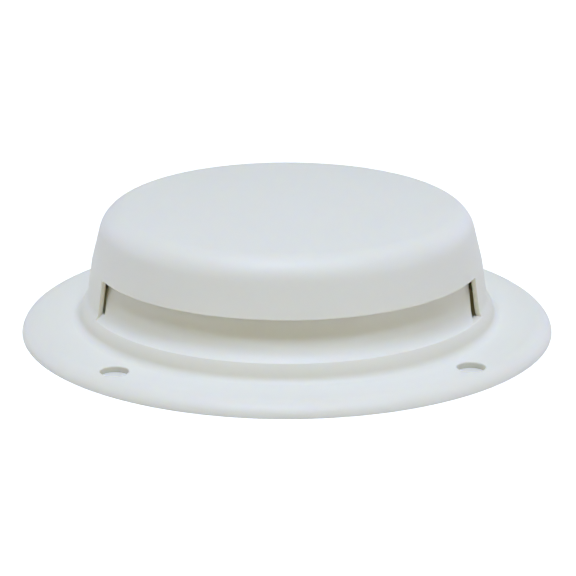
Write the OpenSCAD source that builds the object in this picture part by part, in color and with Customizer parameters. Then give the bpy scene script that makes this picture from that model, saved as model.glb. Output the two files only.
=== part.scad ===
// Round roof vent with a mushroom cap, moulded in one piece from white plastic.
// The flange rests on Z = 0, the axis of the cap is the Z axis, and -Y faces the front slot.
// One thin shell runs from the turned-down rim over the shoulder and the two legs into the cap.
// Behind each slot a curved baffle stands on the shoulder, free at its top and at both sides.

/* [Flange] */
// Outer diameter of the flange
flange_d = 150; // [142:1:190]
// Height of the rounded rim, which is also the height of the flange face
rim_h = 3.75; // [3.2:0.05:6]
// Radial width of the rounding on the rim
rim_round_w = 5.2; // [4:0.1:6.5]
// Thickness of the flange plate, the rim and the shoulder
plate_t = 1.8; // [1.2:0.1:2.2]

/* [Screw holes] */
// Number of screw holes
hole_count = 4; // [2:1:8]
// Diameter of a screw hole
hole_d = 7.6; // [3.5:0.1:8.2]
// Distance from the flange edge to the centre of a hole
hole_inset = 7.9; // [6.6:0.05:8.2]
// Angle from the middle of the front slot to the first hole
hole_angle = 45; // [0:1:90]

/* [Shoulder] */
// Height of the shoulder line above the flange face
shoulder_h = 4.95; // [4.4:0.05:7]
// How far the shoulder line stands out beyond the lip of the cap
shoulder_out = 2.15; // [1.8:0.05:3]
// How far the step bulges out below the shoulder line
step_out = 1.8; // [1.4:0.1:2.4]
// Radius of the bulged face of the step
step_r = 12; // [9:0.5:14]
// Radius of the fillet between the step and the flange face
foot_fillet = 2.3; // [1.6:0.1:3]

/* [Slots and legs] */
// Opening angle of the front slot and of the rear slot
slot_angle = 137.6; // [100:0.2:144]
// Height of a slot, from the shoulder line to the lip of the cap
slot_h = 11.15; // [9:0.05:15]
// Angle of the legs to the vertical
leg_lean = 8; // [3:0.5:9]
// Radius of the fillet between a leg and the step
leg_fillet = 4; // [3:0.5:7]

/* [Cap] */
// Diameter of the cap over its lip
cap_d = 110; // [96:1:114]
// Height from the lip to the end of the rounded edge
cap_h = 15.35; // [12:0.05:24]
// Angle of the skirt to the vertical
cap_draft = 14.2; // [4:0.1:18]
// Radius of the rounded edge round the top
edge_r = 7.8; // [4:0.1:10]
// Height of the slightly domed top above the rounded edge
dome_h = 1.4; // [0.6:0.1:3]
// Wall thickness of the cap, the legs and the baffles
wall_t = 1.3; // [1:0.1:1.7]

/* [Baffles] */
// Radius of the hollow curve at the foot of a baffle
baffle_round = 5.5; // [4:0.1:6.5]
// Slope of the foot to the vertical, at the shoulder line
baffle_slope = 62; // [50:1:70]
// Angle at which the upper part of a baffle leans inwards
baffle_lean = 16; // [12:1:24]
// Height of the top of a baffle above the lip of the cap
baffle_over = 0.9; // [0.2:0.1:3]
// Slit between a baffle and the leg to its left, seen from the front at the lip
slit_left = 0.3; // [0.2:0.05:1.5]
// Slit between a baffle and the leg to its right, seen from the front at the lip
slit_right = 0.6; // [0.2:0.05:1.5]
// Height of the sill that closes the left slit above the shoulder line
sill_left = 1.6; // [0:0.1:2.5]
// Height of the sill that closes the right slit above the shoulder line
sill_right = 0; // [0:0.1:2.5]
// Angle between the left side of a baffle and the line from front to rear
draft_left = 10; // [2:1:20]
// Angle between the right side of a baffle and the line from front to rear
draft_right = 4; // [2:1:20]

/* [Hidden] */
$fn = 180;
eps = 0.01;
land = 0.2;
white = [0.93, 0.94, 0.95];

flange_r = flange_d / 2;
hole_pcd = flange_d - 2 * hole_inset;
z_face = rim_h;
z_shoulder = z_face + shoulder_h;
z_lip = z_shoulder + slot_h;
z_edge = z_lip + cap_h;
z_top = z_edge + dome_h;
lip_r = cap_d / 2;
slot_half = slot_angle / 2;
shoulder_r = lip_r + shoulder_out;

// Points on an arc round c, from angle a0 to angle a1 in n steps
function arc(c, r, a0, a1, n) =
    [for (i = [0:n]) let (a = a0 + (a1 - a0) * i / n) c + r * [cos(a), sin(a)]];
function back(pts) = [for (i = [len(pts) - 1:-1:0]) pts[i]];

// Rounded edge of the cap: its circle touches the skirt line and the sphere of the top
edge_z = z_edge - edge_r;
edge_x = (lip_r * cos(cap_draft) + (z_lip - edge_z) * sin(cap_draft) - edge_r) / cos(cap_draft);
edge_drop = z_top - edge_z;
dome_r = (edge_x ^ 2 + edge_drop ^ 2 - edge_r ^ 2) / (2 * (edge_drop - edge_r));
dome_a = asin(edge_x / (dome_r - edge_r));
edge_c = [edge_x, edge_z];
dome_c = [0, z_top - dome_r];

// Step: a bulged face that runs into the foot fillet
step_a = acos(1 - step_out / step_r);
step_c = [shoulder_r + step_out - step_r, z_shoulder - step_r * sin(step_a)];
foot_z = z_face + foot_fillet;
foot_x = step_c.x + sqrt((step_r + foot_fillet) ^ 2 - (foot_z - step_c.y) ^ 2);
foot_c = [foot_x, foot_z];
foot_a = atan2(foot_z - step_c.y, foot_x - step_c.x);

// Leg: a leaning wall with a fillet that touches both its face and the bulge of the step
fillet_sum = step_r + leg_fillet;
leg_t = tan(leg_lean);
leg_gap = lip_r + (z_lip - step_c.y) * leg_t + leg_fillet / cos(leg_lean) - step_c.x;
leg_rise = (leg_gap * leg_t + sqrt((1 + leg_t ^ 2) * fillet_sum ^ 2 - leg_gap ^ 2)) / (1 + leg_t ^ 2);
leg_c = step_c + [leg_gap - leg_rise * leg_t, leg_rise];
leg_a = atan2(leg_c.y - step_c.y, leg_c.x - step_c.x);

// Baffle: a hollow foot that starts one land inside the shoulder line, then a leaning wall
baffle_c = [shoulder_r - land, z_shoulder] + baffle_round * [cos(baffle_slope), sin(baffle_slope)];
baffle_z = z_lip + baffle_over - wall_t / 2;
baffle_x = baffle_c.x - (baffle_round + wall_t / 2) * cos(baffle_lean)
    - (baffle_z - baffle_c.y + (baffle_round + wall_t / 2) * sin(baffle_lean)) * tan(baffle_lean);

// Inner edge of a leg, seen from the front, and radius of the baffle face, both at the lip
leg_edge_x = (lip_r - wall_t) * sin(slot_half);
baffle_lip_r = baffle_x + wall_t / 2 / cos(baffle_lean) + (baffle_z - z_lip) * tan(baffle_lean);

// Quarter of the rim rounding, t inside its outer face
function rim_curve(t, n) =
    [for (i = [0:n]) let (a = 90 - 90 * i / n)
        [flange_r - rim_round_w + (rim_round_w - t) * cos(a), (rim_h - t) * sin(a)]];

function cap_curve(t) = concat(
    arc(dome_c, dome_r - t, 90, 90 - dome_a, 5),
    arc(edge_c, edge_r - t, 90 - dome_a - 7, cap_draft, 10));

function leg_curve(t) = concat(
    [[lip_r, z_lip] - t * [cos(leg_lean), sin(leg_lean)]],
    arc(leg_c, leg_fillet + t, 180 + leg_lean, 180 + leg_a, 4));

function base_curve(t) = concat(
    arc(step_c, step_r - t, leg_a - 5, foot_a, 3),
    arc(foot_c, foot_fillet + t, 180 + foot_a + 15, 270, 5),
    rim_curve(t, 8));

// Full section of the shell, as if it had no slots
module shell_section() {
    polygon(concat(
        cap_curve(0), leg_curve(0), base_curve(0),
        back(concat(cap_curve(wall_t), leg_curve(wall_t), base_curve(plate_t)))));
}

// Section of a baffle, with a round top edge
module baffle_section() {
    r_in = baffle_round + wall_t;
    polygon(concat(
        arc(baffle_c, baffle_round, 180 + baffle_slope + 1, 180 + baffle_lean, 6),
        arc([baffle_x, baffle_z], wall_t / 2, baffle_lean, 180 + baffle_lean, 6),
        arc(baffle_c, r_in, 180 + baffle_lean, 180 + baffle_slope, 6)));
}

// Window of one slot, cut through the shell between the shoulder line and the lip
module slot_window() {
    rotate_extrude(angle = slot_angle, start = -90 - slot_half)
        translate([lip_r - wall_t - 2, z_shoulder])
            square([shoulder_r - lip_r + wall_t + 3, slot_h]);
}

// Space beside a baffle that keeps its side free from the leg
module slit(gap, draft, sill) {
    reach = flange_r;
    side_x = leg_edge_x - gap;
    translate([side_x, -sqrt(baffle_lip_r ^ 2 - side_x ^ 2), z_shoulder + sill])
        rotate(draft)
            translate([0, -reach, 0])
                cube([reach, 2 * reach, slot_h + baffle_over]);
}

// Flange, shoulder, legs and cap as one moulded shell
module shell() {
    color(white)
        difference() {
            rotate_extrude() shell_section();
            for (turn = [0, 180]) rotate(turn) slot_window();
            for (i = [0:hole_count - 1])
                rotate(hole_angle - 90 + 360 * i / hole_count)
                    translate([hole_pcd / 2, 0, -eps])
                        cylinder(d = hole_d, h = rim_h + 2 * eps, $fn = 48);
        }
}

// Curved baffle behind the front slot
module baffle() {
    spread = slot_half + 5;
    color(white)
        difference() {
            rotate_extrude(angle = 2 * spread, start = -90 - spread) baffle_section();
            slit(slit_right, draft_right, sill_right);
            mirror([1, 0, 0]) slit(slit_left, draft_left, sill_left);
        }
}

module vent_body() {
    union() {
        shell();
        for (turn = [0, 180]) rotate(turn) baffle();
    }
}

vent_body();
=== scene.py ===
from math import acos, asin, atan2, cos, hypot, pi, radians, sin, sqrt, tan

import bpy
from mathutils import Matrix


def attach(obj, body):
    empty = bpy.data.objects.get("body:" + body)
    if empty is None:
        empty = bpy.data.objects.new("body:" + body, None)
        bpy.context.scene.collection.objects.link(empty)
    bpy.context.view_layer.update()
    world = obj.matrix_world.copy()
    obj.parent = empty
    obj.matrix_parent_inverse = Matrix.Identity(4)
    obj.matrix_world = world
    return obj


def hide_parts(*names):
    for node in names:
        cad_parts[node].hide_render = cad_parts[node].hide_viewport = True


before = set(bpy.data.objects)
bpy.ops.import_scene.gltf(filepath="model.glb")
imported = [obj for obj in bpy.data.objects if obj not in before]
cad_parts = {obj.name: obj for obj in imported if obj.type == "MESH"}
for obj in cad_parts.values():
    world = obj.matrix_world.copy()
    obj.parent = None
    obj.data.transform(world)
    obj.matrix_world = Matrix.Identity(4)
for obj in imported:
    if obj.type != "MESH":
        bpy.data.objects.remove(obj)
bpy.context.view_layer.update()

# Viewpoint. The vent was photographed from a little above, nearly square to its front slot,
# through a long lens, so the ellipses of flange and cap stay almost free of perspective.
aim_x, aim_z = 0.000278, 0.010808
view_distance, view_down, view_turn = 0.68983, 0.3159, radians(-2)
back, rise = view_distance * cos(view_down), view_distance * sin(view_down)
camera = bpy.data.objects.new("camera", bpy.data.cameras.new("camera"))
camera.data.sensor_width = 36
camera.data.lens = 152.16
camera.location = (aim_x * cos(view_turn) + back * sin(view_turn),
                   aim_x * sin(view_turn) - back * cos(view_turn), aim_z + rise)
camera.rotation_euler = (pi / 2 - view_down, 0, view_turn)
bpy.context.scene.collection.objects.link(camera)
bpy.context.scene.camera = camera

# Shell: flange, rim, shoulder, legs and domed cap are one injection-moulded wall of white ABS.
# The wall is turned round the vent's axis: its outer face is drawn here as a line, each point
# with its partner on the inner face, and the slots are left out of it before it gets its thickness.
# Sizes are in millimetres here and for the baffles and holes, as in the vent's drawing.
flange_r, rim_h, rim_round_w, plate_t = 75.0, 3.75, 5.2, 1.8
shoulder_h, shoulder_out, step_out, step_r, foot_fillet = 4.95, 2.15, 1.8, 12.0, 2.3
slot_half, slot_h, leg_lean, leg_fillet = radians(68.8), 11.15, radians(8), 4.0
lip_r, cap_h, cap_draft, edge_r, dome_h, wall_t = 55.0, 15.35, radians(14.2), 7.8, 1.4, 1.3

z_shoulder = rim_h + shoulder_h
z_lip = z_shoulder + slot_h
z_edge = z_lip + cap_h
z_top = z_edge + dome_h
shoulder_r = lip_r + shoulder_out
edge_z = z_edge - edge_r
edge_x = (lip_r * cos(cap_draft) + (z_lip - edge_z) * sin(cap_draft) - edge_r) / cos(cap_draft)
dome_r = (edge_x ** 2 + (z_top - edge_z) ** 2 - edge_r ** 2) / (2 * (z_top - edge_z - edge_r))
dome_a = asin(edge_x / (dome_r - edge_r))
step_a = acos(1 - step_out / step_r)
step_x, step_z = shoulder_r + step_out - step_r, z_shoulder - step_r * sin(step_a)
foot_z = rim_h + foot_fillet
foot_x = step_x + sqrt((step_r + foot_fillet) ** 2 - (foot_z - step_z) ** 2)
foot_a = atan2(foot_z - step_z, foot_x - step_x)
lean = tan(leg_lean)
leg_gap = lip_r + (z_lip - step_z) * lean + leg_fillet / cos(leg_lean) - step_x
leg_rise = (leg_gap * lean + sqrt((1 + lean ** 2) * (step_r + leg_fillet) ** 2
                                  - leg_gap ** 2)) / (1 + lean ** 2)
leg_x, leg_z = step_x + leg_gap - leg_rise * lean, step_z + leg_rise
leg_a = atan2(leg_z - step_z, leg_x - step_x)


def arc(x, z, r, first, last, steps):
    """Points on an arc round (x, z), both ends among them."""
    turns = [first + (last - first) * i / steps for i in range(steps + 1)]
    return [(x + r * cos(a), z + r * sin(a)) for a in turns]


def straight(start, end, steps):
    """Points between start and end, without both."""
    return [tuple(s + (e - s) * i / steps for s, e in zip(start, end)) for i in range(1, steps)]


def shell_line(cap_t, flange_t):
    """The wall's face at that depth below its outer face, from the top of the cap to the rim."""
    top = arc(0, z_top - dome_r, dome_r - cap_t, pi / 2, pi / 2 - dome_a, 16)
    edge = arc(edge_x, edge_z, edge_r - cap_t, pi / 2 - dome_a, cap_draft, 26)[1:]
    lip = (lip_r - cap_t / cos(cap_draft), z_lip)
    skirt = straight(edge[-1], lip, 14)
    floor_a = asin((leg_z - z_shoulder) / (leg_fillet + cap_t)) if cap_t else leg_a
    low = arc(leg_x, leg_z, leg_fillet + cap_t, pi + leg_lean, pi + floor_a, 10)
    leg = [lip] + straight(lip, low[0], 6) + low
    # The outer face ends in the shoulder line; the inner one gets a point to match it.
    if cap_t:
        leg.insert(-1, tuple((a + b) / 2 for a, b in zip(leg[-2], leg[-1])))
    else:
        leg.append((shoulder_r, z_shoulder))
    step = arc(step_x, step_z, step_r - flange_t, step_a - radians(1.2), foot_a, 9)
    foot = arc(foot_x, foot_z, foot_fillet + flange_t, pi + foot_a, 3 * pi / 2, 12)[1:]
    rim = [(flange_r - rim_round_w + (rim_round_w - flange_t) * cos(a), (rim_h - flange_t) * sin(a))
           for a in (pi / 2 * (1 - i / 20) for i in range(21))]
    flat = straight(foot[-1], rim[0], 8)
    return top + edge + skirt + leg + step + foot + flat + rim, len(top + edge + skirt), len(leg)


def add(tree, kind, settings, inputs):
    """Adds a node; an input is a plain value or the output that feeds it."""
    node = tree.nodes.new(kind)
    for name, value in settings.items():
        setattr(node, name, value)
    for name, value in inputs.items():
        if isinstance(value, bpy.types.NodeSocket):
            tree.links.new(value, node.inputs[name])
        else:
            node.inputs[name].default_value = value
    return node


def wall_object(name, rows):
    """A line of points (outer x, z, inner x, z, outer from, to, inner from, to, in the window)."""
    mesh = bpy.data.meshes.new(name)
    mesh.from_pydata([(r[0] / 1000, 0, r[1] / 1000) for r in rows],
                     [(i, i + 1) for i in range(len(rows) - 1)], [])
    inner = mesh.attributes.new("inner", "FLOAT_VECTOR", "POINT")
    inner.data.foreach_set("vector", [c for r in rows for c in (r[2] / 1000, 0, r[3] / 1000)])
    for column, label in enumerate(("from", "to", "inner from", "inner to"), 4):
        mesh.attributes.new(label, "FLOAT", "POINT").data.foreach_set("value", [r[column] for r in rows])
    mesh.attributes.new("window", "BOOLEAN", "POINT").data.foreach_set("value", [r[8] for r in rows])
    piece = bpy.data.objects.new(name, mesh)
    bpy.context.scene.collection.objects.link(piece)
    return piece


# The line becomes a grid with a row for each point and a column for each step round the axis. The
# faces in the slots' windows are deleted, and the rest is pushed through to its inner partners.
weld = 1e-7
turned = bpy.data.node_groups.new("turned wall", "GeometryNodeTree")
turned.interface.new_socket("Wall", in_out="OUTPUT", socket_type="NodeSocketGeometry")
turned.interface.new_socket("Line", in_out="INPUT", socket_type="NodeSocketGeometry")
steps_socket = turned.interface.new_socket("Steps round", in_out="INPUT", socket_type="NodeSocketInt")
slot_socket = turned.interface.new_socket("Half slot", in_out="INPUT", socket_type="NodeSocketFloat")
given = add(turned, "NodeGroupInput", {}, {}).outputs
index = add(turned, "GeometryNodeInputIndex", {}, {}).outputs[0]
place = add(turned, "GeometryNodeInputPosition", {}, {}).outputs[0]
count = add(turned, "GeometryNodeAttributeDomainSize", {}, {0: given["Line"]}).outputs["Point Count"]
column = add(turned, "FunctionNodeIntegerMath", {"operation": "DIVIDE_FLOOR"}, {0: index, 1: count})
row = add(turned, "FunctionNodeIntegerMath", {"operation": "MODULO"}, {0: index, 1: count}).outputs[0]
share = add(turned, "ShaderNodeMath", {"operation": "DIVIDE"},
            {0: column.outputs[0], 1: given["Steps round"]}).outputs[0]
posts = add(turned, "ShaderNodeMath", {"operation": "ADD"}, {0: given["Steps round"], 1: 1}).outputs[0]
sheet = add(turned, "GeometryNodeMeshGrid", {}, {"Vertices X": posts, "Vertices Y": count})
spots = []
for spot, first, last in ((place, "from", "to"), ("inner", "inner from", "inner to")):
    if spot == "inner":
        spot = add(turned, "GeometryNodeInputNamedAttribute", {"data_type": "FLOAT_VECTOR"},
                   {"Name": "inner"}).outputs["Attribute"]
    spot = add(turned, "GeometryNodeSampleIndex", {"data_type": "FLOAT_VECTOR"},
               {"Geometry": given["Line"], "Value": spot, "Index": row}).outputs[0]
    ends = []
    for end in (first, last):
        end = add(turned, "GeometryNodeInputNamedAttribute", {"data_type": "FLOAT"}, {"Name": end})
        ends.append(add(turned, "GeometryNodeSampleIndex", {"data_type": "FLOAT"}, {
            "Geometry": given["Line"], "Value": end.outputs["Attribute"], "Index": row}).outputs[0])
    span = add(turned, "ShaderNodeMath", {"operation": "SUBTRACT"}, {0: ends[1], 1: ends[0]}).outputs[0]
    turn = add(turned, "ShaderNodeMath", {"operation": "MULTIPLY_ADD"}, {0: share, 1: span, 2: ends[0]})
    spots.append(add(turned, "ShaderNodeVectorRotate", {"rotation_type": "Z_AXIS"},
                     {"Vector": spot, "Angle": turn.outputs[0]}).outputs[0])
window = add(turned, "GeometryNodeInputNamedAttribute", {"data_type": "BOOLEAN"}, {"Name": "window"})
in_rows = add(turned, "GeometryNodeSampleIndex", {"data_type": "BOOLEAN"}, {
    "Geometry": given["Line"], "Value": window.outputs["Attribute"], "Index": row}).outputs[0]
shaped = add(turned, "GeometryNodeSetPosition", {}, {"Geometry": sheet.outputs["Mesh"], "Position": spots[0]})
kept = add(turned, "GeometryNodeStoreNamedAttribute", {"data_type": "FLOAT_VECTOR", "domain": "POINT"},
           {"Geometry": shaped.outputs[0], "Name": "partner", "Value": spots[1]})
kept = add(turned, "GeometryNodeStoreNamedAttribute", {"data_type": "BOOLEAN", "domain": "POINT"},
           {"Geometry": kept.outputs[0], "Name": "in window", "Value": in_rows})
apart = add(turned, "ShaderNodeSeparateXYZ", {}, {0: place}).outputs
across = add(turned, "ShaderNodeMath", {"operation": "ABSOLUTE"}, {0: apart[0]}).outputs[0]
along = add(turned, "ShaderNodeMath", {"operation": "ABSOLUTE"}, {0: apart[1]}).outputs[0]
bearing = add(turned, "ShaderNodeMath", {"operation": "ARCTAN2"}, {0: across, 1: along}).outputs[0]
open_side = add(turned, "FunctionNodeCompare", {"data_type": "FLOAT", "operation": "LESS_THAN"},
                {0: bearing, 1: given["Half slot"]}).outputs[0]
in_window = add(turned, "GeometryNodeInputNamedAttribute", {"data_type": "BOOLEAN"}, {"Name": "in window"})
cut_out = add(turned, "FunctionNodeBooleanMath", {"operation": "AND"},
              {0: in_window.outputs["Attribute"], 1: open_side}).outputs[0]
face = add(turned, "GeometryNodeDeleteGeometry", {"domain": "FACE"},
           {"Geometry": kept.outputs[0], "Selection": cut_out})
face = add(turned, "GeometryNodeMergeByDistance", {}, {"Geometry": face.outputs[0], "Distance": weld})
deep = add(turned, "GeometryNodeExtrudeMesh", {"mode": "FACES"},
           {"Mesh": face.outputs[0], "Offset Scale": 0.0, "Individual": False})
partner = add(turned, "GeometryNodeInputNamedAttribute", {"data_type": "FLOAT_VECTOR"}, {"Name": "partner"})
deep = add(turned, "GeometryNodeSetPosition", {}, {"Geometry": deep.outputs["Mesh"],
           "Selection": deep.outputs["Top"], "Position": partner.outputs["Attribute"]})
deep = add(turned, "GeometryNodeFlipFaces", {}, {"Mesh": deep.outputs[0]})
wall = add(turned, "GeometryNodeJoinGeometry", {}, {0: face.outputs[0]})
turned.links.new(deep.outputs[0], wall.inputs[0])
wall = add(turned, "GeometryNodeMergeByDistance", {}, {"Geometry": wall.outputs[0], "Distance": weld})
wall = add(turned, "GeometryNodeRealizeInstances", {}, {0: wall.outputs[0]})
add(turned, "NodeGroupOutput", {}, {0: wall.outputs[0]})

outer_line, window_start, window_count = shell_line(0, 0)
inner_line, _, _ = shell_line(wall_t, plate_t)
shell = wall_object("shell", [
    (xo, zo, xi, zi, pi, -pi, pi, -pi, window_start <= i < window_start + window_count)
    for i, ((xo, zo), (xi, zi)) in enumerate(zip(outer_line, inner_line))])
turning = shell.modifiers.new("turned", "NODES")
turning.node_group = turned
turning[steps_socket.identifier] = 225  # 1.6 degrees each, so the slots' sides fall on a step
turning[slot_socket.identifier] = slot_half
edge_radius = 0.00022  # in metres, on every free edge, as the mould leaves it
soft_edges = shell.modifiers.new("moulded edges", "BEVEL")
soft_edges.width = edge_radius
soft_edges.segments = 3
soft_edges.limit_method = "ANGLE"
soft_edges.angle_limit = radians(48)

# Baffles: behind each slot the same wall rises again from the shoulder, hollow at its foot, and
# leans in behind the lip, so that rain can't blow through. Its top is round and free, and only
# a narrow slit parts its sides from the legs.
baffle_round, baffle_slope, baffle_lean, baffle_over = 5.5, radians(62), radians(16), 0.9
foot_land = 0.2
slits = ((1, 0.6, 4, 0.0), (-1, 0.3, 10, 1.6))  # side, width at the lip, draft in degrees, sill
hollow_x = shoulder_r - foot_land + baffle_round * cos(baffle_slope)
hollow_z = z_shoulder + baffle_round * sin(baffle_slope)
crest_z = z_lip + baffle_over - wall_t / 2
crest_x = (hollow_x - (baffle_round + wall_t / 2) * cos(baffle_lean)
           - (crest_z - hollow_z + (baffle_round + wall_t / 2) * sin(baffle_lean)) * tan(baffle_lean))


def baffle_line(depth, crest_start):
    """The face of a baffle at that depth, from its foot inside the shoulder to its crest."""
    hollow = arc(hollow_x, hollow_z, baffle_round + depth, pi + baffle_slope + radians(1),
                 pi + baffle_lean, 22)
    crest = arc(crest_x, crest_z, wall_t / 2, crest_start, baffle_lean + pi / 2, 8)
    return hollow + straight(hollow[-1], crest[0], 8) + crest


spread = slot_half + radians(5)
baffle = wall_object("baffle", [
    (*face, *behind, -pi / 2 - spread, -pi / 2 + spread, -pi / 2 - spread, -pi / 2 + spread, False)
    for face, behind in zip(baffle_line(0, baffle_lean), baffle_line(wall_t, pi + baffle_lean))])
turning = baffle.modifiers.new("turned", "NODES")
turning.node_group = turned
turning[steps_socket.identifier] = 150
lip_face_r = crest_x + wall_t / 2 / cos(baffle_lean) + (crest_z - z_lip) * tan(baffle_lean)


def block(name, points, faces):
    """A plain closed block that cuts a gap or a hole."""
    mesh = bpy.data.meshes.new(name)
    mesh.from_pydata([(x / 1000, y / 1000, z / 1000) for x, y, z in points], [], faces)
    cutter = bpy.data.objects.new(name, mesh)
    bpy.context.scene.collection.objects.link(cutter)
    return cutter


slit_blocks, reach = [], 60
for side, gap, draft, sill in slits:
    x = (lip_r - wall_t) * sin(slot_half) - gap
    y = -sqrt(lip_face_r ** 2 - x ** 2)
    along_x, along_y = -sin(radians(draft)), cos(radians(draft))
    near = [(x + along_x * t, y + along_y * t) for t in (-reach, reach)]
    far = [(px + along_y * reach, py - along_x * reach) for px, py in near]
    ring = near + far[::-1]
    if side > 0:
        ring = ring[::-1]
    points = [(side * px, py, z) for z in (z_shoulder + sill, z_lip + baffle_over + 2) for px, py in ring]
    slit_blocks.append(block("slit", points, [(3, 2, 1, 0), (4, 5, 6, 7)] + [
        (i, (i + 1) % 4, 4 + (i + 1) % 4, 4 + i) for i in range(4)]))
    slitting = baffle.modifiers.new("slit", "BOOLEAN")
    slitting.object = slit_blocks[-1]
    slitting.operation = "DIFFERENCE"
    slitting.solver = "MANIFOLD"

# Screw holes: four plain holes for roof screws, cored by pins in the mould, with a small
# radius round the upper edge. The pins stand on one pitch circle, the first under 45 degrees.
hole_r, hole_edge, hole_inset, hole_count, hole_first = 3.8, 0.4, 7.9, 4, radians(45)
pin_line = ([(hole_r, -1)] + arc(hole_r + hole_edge, rim_h - hole_edge, hole_edge, pi, pi / 2, 6)
            + [(hole_r + hole_edge, rim_h + 1)])
sides, rings = 72, len(pin_line)
pin_points = [(flange_r - hole_inset + r * cos(2 * pi * i / sides), r * sin(2 * pi * i / sides), z)
              for i in range(sides) for r, z in pin_line]
pin_faces = [(i * rings + j, (i + 1) % sides * rings + j, (i + 1) % sides * rings + j + 1, i * rings + j + 1)
             for i in range(sides) for j in range(rings - 1)]
pin_faces.append(tuple(i * rings for i in reversed(range(sides))))
pin_faces.append(tuple(i * rings + rings - 1 for i in range(sides)))
pin = block("pin", pin_points, pin_faces)

# The vent is one moulding, so both baffles grow out of the shell, and the pins are taken out of it.
joined = bpy.data.node_groups.new("joined vent", "GeometryNodeTree")
joined.interface.new_socket("Vent", in_out="OUTPUT", socket_type="NodeSocketGeometry")
joined.interface.new_socket("Shell", in_out="INPUT", socket_type="NodeSocketGeometry")
sockets = {name: joined.interface.new_socket(name, in_out="INPUT", socket_type="NodeSocket" + kind)
           for name, kind in (("Baffle", "Object"), ("Baffles", "Int"), ("Pin", "Object"), ("Pins", "Int"),
                              ("First pin", "Float"), ("Plastic", "Material"))}
given = add(joined, "NodeGroupInput", {}, {}).outputs
index = add(joined, "GeometryNodeInputIndex", {}, {}).outputs[0]
sets = []
for thing, number, first in (("Baffle", "Baffles", 0.0), ("Pin", "Pins", given["First pin"])):
    thing = add(joined, "GeometryNodeObjectInfo", {}, {"Object": given[thing]}).outputs["Geometry"]
    points = add(joined, "GeometryNodePoints", {}, {"Count": given[number]}).outputs[0]
    pitch = add(joined, "ShaderNodeMath", {"operation": "DIVIDE"}, {0: 2 * pi, 1: given[number]}).outputs[0]
    turn = add(joined, "ShaderNodeMath", {"operation": "MULTIPLY_ADD"}, {0: index, 1: pitch, 2: first})
    turn = add(joined, "ShaderNodeCombineXYZ", {}, {"Z": turn.outputs[0]}).outputs[0]
    copies = add(joined, "GeometryNodeInstanceOnPoints", {},
                 {"Points": points, "Instance": thing, "Rotation": turn}).outputs[0]
    sets.append(add(joined, "GeometryNodeRealizeInstances", {}, {0: copies}).outputs[0])
whole = add(joined, "GeometryNodeMeshBoolean", {"operation": "UNION", "solver": "MANIFOLD"},
            {"Mesh 2": given["Shell"]})
joined.links.new(sets[0], whole.inputs["Mesh 2"])
whole = add(joined, "GeometryNodeMeshBoolean", {"operation": "DIFFERENCE", "solver": "MANIFOLD"},
            {"Mesh 1": whole.outputs["Mesh"], "Mesh 2": sets[1]})
whole = add(joined, "GeometryNodeMergeByDistance", {}, {"Geometry": whole.outputs["Mesh"], "Distance": 2e-6})
whole = add(joined, "GeometryNodeRealizeInstances", {}, {0: whole.outputs[0]})
whole = add(joined, "GeometryNodeSetMaterial", {},
            {"Geometry": whole.outputs[0], "Material": given["Plastic"]})
add(joined, "NodeGroupOutput", {}, {0: whole.outputs[0]})

# The plastic is white ABS that keeps a slight warm cast of its own, which shows where light is
# thrown to and fro behind the lip. The mould was spark-eroded to a fine satin grain, so lights
# are seen as broad soft sheens, and the wall sank by hundredths of a millimetre as it cooled,
# which makes those sheens waver. The real grain is about 0.05 mm, and is drawn at 0.4 mm here.
plastic = bpy.data.materials.new("moulded white ABS")
plastic.use_nodes = True
tree = plastic.node_tree
surface = tree.nodes["Principled BSDF"]
surface.inputs["IOR"].default_value = 1.53
surface.inputs["Subsurface Weight"].default_value = 0.4
surface.inputs["Subsurface Radius"].default_value = (1.0, 0.75, 0.4)
surface.inputs["Subsurface Scale"].default_value = 0.0016  # light strays about a wall's thickness
place = add(tree, "ShaderNodeTexCoord", {}, {}).outputs["Object"]
grain_mm, sink_mm, flow_mm, cloud_mm = 0.4, 16, 5, 38


def linear(code):
    """An sRGB hex colour as linear values."""
    parts = [int(code[i:i + 2], 16) / 255 for i in (0, 2, 4)]
    return (*(c / 12.92 if c <= 0.04045 else ((c + 0.055) / 1.055) ** 2.4 for c in parts), 1)


def pattern(size_mm, detail, where):
    """Noise whose patches are about size_mm across."""
    return add(tree, "ShaderNodeTexNoise", {}, {
        "Vector": where, "Scale": 1000 / size_mm, "Detail": detail, "Roughness": 0.55}).outputs[0]


def between(value, low, high):
    """The middle half of a noise, spread from low to high."""
    return add(tree, "ShaderNodeMapRange", {}, {"Value": value, "From Min": 0.25, "From Max": 0.75,
                                                "To Min": low, "To Max": high}).outputs[0]


clouds, grain, sinks = pattern(cloud_mm, 2, place), pattern(grain_mm, 2, place), pattern(sink_mm, 1, place)
tint = add(tree, "ShaderNodeMix", {"data_type": "RGBA"},
           {0: clouds, 6: linear("ECEAD5"), 7: linear("E9E8D2")}).outputs[2]
tree.links.new(tint, surface.inputs["Base Color"])
# The melt ran outwards from the middle of the cap, and left faint streaks along its way. They are
# flow_mm wide at the lip, and about eight times as long.
streak_stretch = 0.12
parts = add(tree, "ShaderNodeSeparateXYZ", {}, {0: place}).outputs
bearing = add(tree, "ShaderNodeMath", {"operation": "ARCTAN2"}, {0: parts[1], 1: parts[0]}).outputs[0]
bearing = add(tree, "ShaderNodeMath", {"operation": "MULTIPLY"}, {0: bearing, 1: lip_r / 1000}).outputs[0]
path = add(tree, "ShaderNodeVectorMath", {"operation": "LENGTH"}, {0: place}).outputs["Value"]
path = add(tree, "ShaderNodeMath", {"operation": "MULTIPLY"}, {0: path, 1: streak_stretch}).outputs[0]
streaks = pattern(flow_mm, 2, add(tree, "ShaderNodeCombineXYZ", {}, {0: bearing, 1: path}).outputs[0])
satin = add(tree, "ShaderNodeMath", {"operation": "ADD"},
            {0: between(clouds, 0.5, 0.56), 1: between(streaks, -0.015, 0.015)}).outputs[0]
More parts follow.
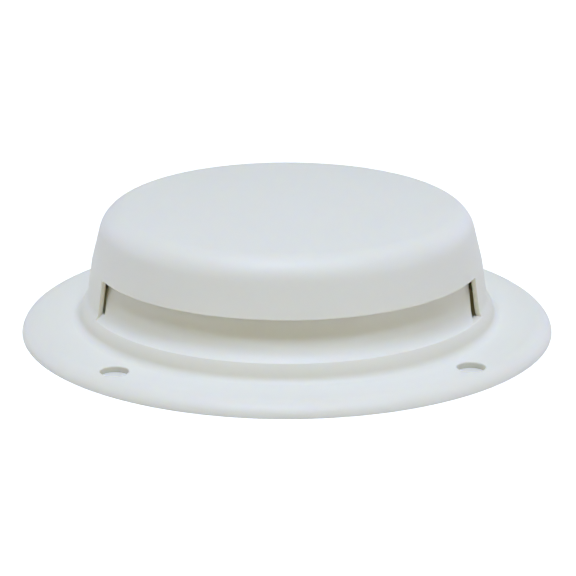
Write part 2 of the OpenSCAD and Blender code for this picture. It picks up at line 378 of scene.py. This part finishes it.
satin = add(tree, "ShaderNodeMath", {"operation": "ADD"}, {0: satin, 1: between(grain, 0.0, 0.05)}).outputs[0]
tree.links.new(satin, surface.inputs["Roughness"])
waver = add(tree, "ShaderNodeBump", {}, {"Height": sinks, "Distance": 0.00006}).outputs[0]
waver = add(tree, "ShaderNodeBump", {}, {"Height": grain, "Distance": 0.00001, "Normal": waver}).outputs[0]
tree.links.new(waver, surface.inputs["Normal"])

# The finished moulding becomes one plain mesh, and the objects that shaped it are removed.
joining = shell.modifiers.new("joined", "NODES")
joining.node_group = joined
for name, value in (("Baffle", baffle), ("Baffles", 2), ("Pin", pin), ("Pins", hole_count),
                    ("First pin", hole_first - pi / 2), ("Plastic", plastic)):
    joining[sockets[name].identifier] = value
vent_mesh = bpy.data.meshes.new_from_object(shell.evaluated_get(bpy.context.evaluated_depsgraph_get()))
vent = bpy.data.objects.new("moulded_vent", vent_mesh)
bpy.context.scene.collection.objects.link(vent)
for helper in [shell, baffle, pin] + slit_blocks:
    bpy.data.objects.remove(helper)
vent_mesh.shade_smooth()
vent_mesh.set_sharp_from_angle(angle=radians(38))
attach(vent, "root")
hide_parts("vent_body")

# Studio: the vent lies on plain white paper, lit by soft lamps almost straight above and weaker
# ones round it. To the camera the paper glows pure white round the vent. Under the cap it glows a
# dim brown, which is painted light standing in for light that comes through the plastic, so the
# narrow slits are dark. Where the paper is seen through the screw holes it glows white as well,
# which is painted light laid over the real light and shade there.
floor_mesh = bpy.data.meshes.new("floor")
floor_mesh.from_pydata([(-3, -3, 0), (3, -3, 0), (3, 6, 0), (-3, 6, 0)], [], [(0, 1, 2, 3)])
floor = bpy.data.objects.new("floor", floor_mesh)
bpy.context.scene.collection.objects.link(floor)
paper = bpy.data.materials.new("white paper floor")
paper.use_nodes = True
floor_mesh.materials.append(paper)
tree = paper.node_tree
sheet = tree.nodes["Principled BSDF"]
rays = add(tree, "ShaderNodeLightPath", {}, {}).outputs
seen = add(tree, "ShaderNodeMath", {"operation": "MAXIMUM"},
           {0: rays["Is Camera Ray"], 1: rays["Is Glossy Ray"]}).outputs[0]
seen = add(tree, "ShaderNodeMath", {"operation": "MAXIMUM"},
           {0: seen, 1: rays["Is Transmission Ray"]}).outputs[0]
tone = add(tree, "ShaderNodeMix", {"data_type": "RGBA"},
           {0: seen, 6: linear("EFEFEF"), 7: linear("EDEADF")}).outputs[2]
# The view slants down, so what is seen through a hole lies a little behind it.
# Painted light: the first radius bounds the dim brown glow under the cap, the second the white glow in the
# spots seen through the screw holes.
painted_brown_light_r, painted_hole_light_r, behind_it = 0.068, 0.0078, 0.004
hole_x = (flange_r - hole_inset) * cos(hole_first) / 1000
spot = add(tree, "ShaderNodeTexCoord", {}, {}).outputs["Object"]
spot = add(tree, "ShaderNodeVectorMath", {"operation": "SUBTRACT"},
           {0: spot, 1: (0, behind_it, 0)}).outputs[0]
away = add(tree, "ShaderNodeVectorMath", {"operation": "LENGTH"}, {0: spot}).outputs["Value"]
away = add(tree, "ShaderNodeMath", {"operation": "GREATER_THAN"}, {0: away, 1: painted_brown_light_r}).outputs[0]
spot = add(tree, "ShaderNodeVectorMath", {"operation": "ABSOLUTE"}, {0: spot}).outputs[0]
spot = add(tree, "ShaderNodeVectorMath", {"operation": "DISTANCE"}, {0: spot, 1: (hole_x, hole_x, 0)})
# Painted light: the paper seen through each screw hole glows white, over the real light and shade there.
hole_light_painted = add(tree, "ShaderNodeMath", {"operation": "LESS_THAN"},
            {0: spot.outputs["Value"], 1: painted_hole_light_r}).outputs[0]
floor_glow_and_painted_light = add(tree, "ShaderNodeMath", {"operation": "MAXIMUM"}, {0: away, 1: hole_light_painted}).outputs[0]
# Painted light: under the cap the paper glows a dim brown that stands in for light through the plastic;
# outside the cap it glows evenly white.
floor_glow_and_painted_light = add(tree, "ShaderNodeMix", {"data_type": "RGBA"},
           {0: floor_glow_and_painted_light, 6: linear("3A351D"), 7: linear("C8CED3")}).outputs[2]
tree.links.new(tone, sheet.inputs["Base Color"])
tree.links.new(floor_glow_and_painted_light, sheet.inputs["Emission Color"])
tree.links.new(seen, sheet.inputs["Emission Strength"])
sheet.inputs["Roughness"].default_value = 0.9
sheet.inputs["Specular IOR Level"].default_value = 0.2

# The room adds a weak warm light from all sides, against the cool lamps.
world = bpy.data.worlds.new("studio")
bpy.context.scene.world = world
world.use_nodes = True
world.node_tree.nodes["Background"].inputs["Color"].default_value = linear("FFFF30")
world.node_tree.nodes["Background"].inputs["Strength"].default_value = 0.169

vent_middle = 0.02


def softbox(name, place, width, height, red, green, blue):
    """A rectangular soft light at place that faces the vent, with its watts in each colour."""
    lamp = bpy.data.lights.new(name, "AREA")
    lamp.shape, lamp.size, lamp.size_y = "RECTANGLE", width, height
    lamp.energy = max(red, green, blue)
    lamp.color = [watts / lamp.energy for watts in (red, green, blue)]
    holder = bpy.data.objects.new(name, lamp)
    holder.location = place
    x, y, z = place[0], place[1], place[2] - vent_middle
    holder.rotation_euler = (atan2(hypot(x, y), z), 0, atan2(x, -y))
    bpy.context.scene.collection.objects.link(holder)


softbox("overhead", (0, -0.25, 1.18), 0.7, 0.2, 8.5, 9.7, 15.2)
softbox("overhead back", (0, 0.6, 1.0), 1.2, 0.4, 0.54, 0.32, 0.5)
softbox("left", (-1.1, -0.1, 0.4), 0.9, 0.3, 1.1, 1.0, 1.7)
softbox("right", (1.1, -0.1, 0.4), 0.9, 0.3, 0.65, 0.55, 1.2)
softbox("back left", (-0.8, 0.8, 0.35), 0.8, 0.3, 0.85, 0.95, 1.9)
softbox("back right", (0.8, 0.8, 0.35), 0.8, 0.3, 1.3, 1.4, 2.5)
softbox("front left", (-0.85, -0.8, 0.25), 0.6, 0.3, 0.38, 0.33, 0.4)
softbox("front right", (0.85, -0.8, 0.25), 0.6, 0.3, 1.12, 1.1, 1.48)
softbox("front low", (0, -1.5, 0.15), 1.6, 0.2, 0.5, 0.1, 0.3)

bpy.context.scene.view_settings.view_transform = "Standard"
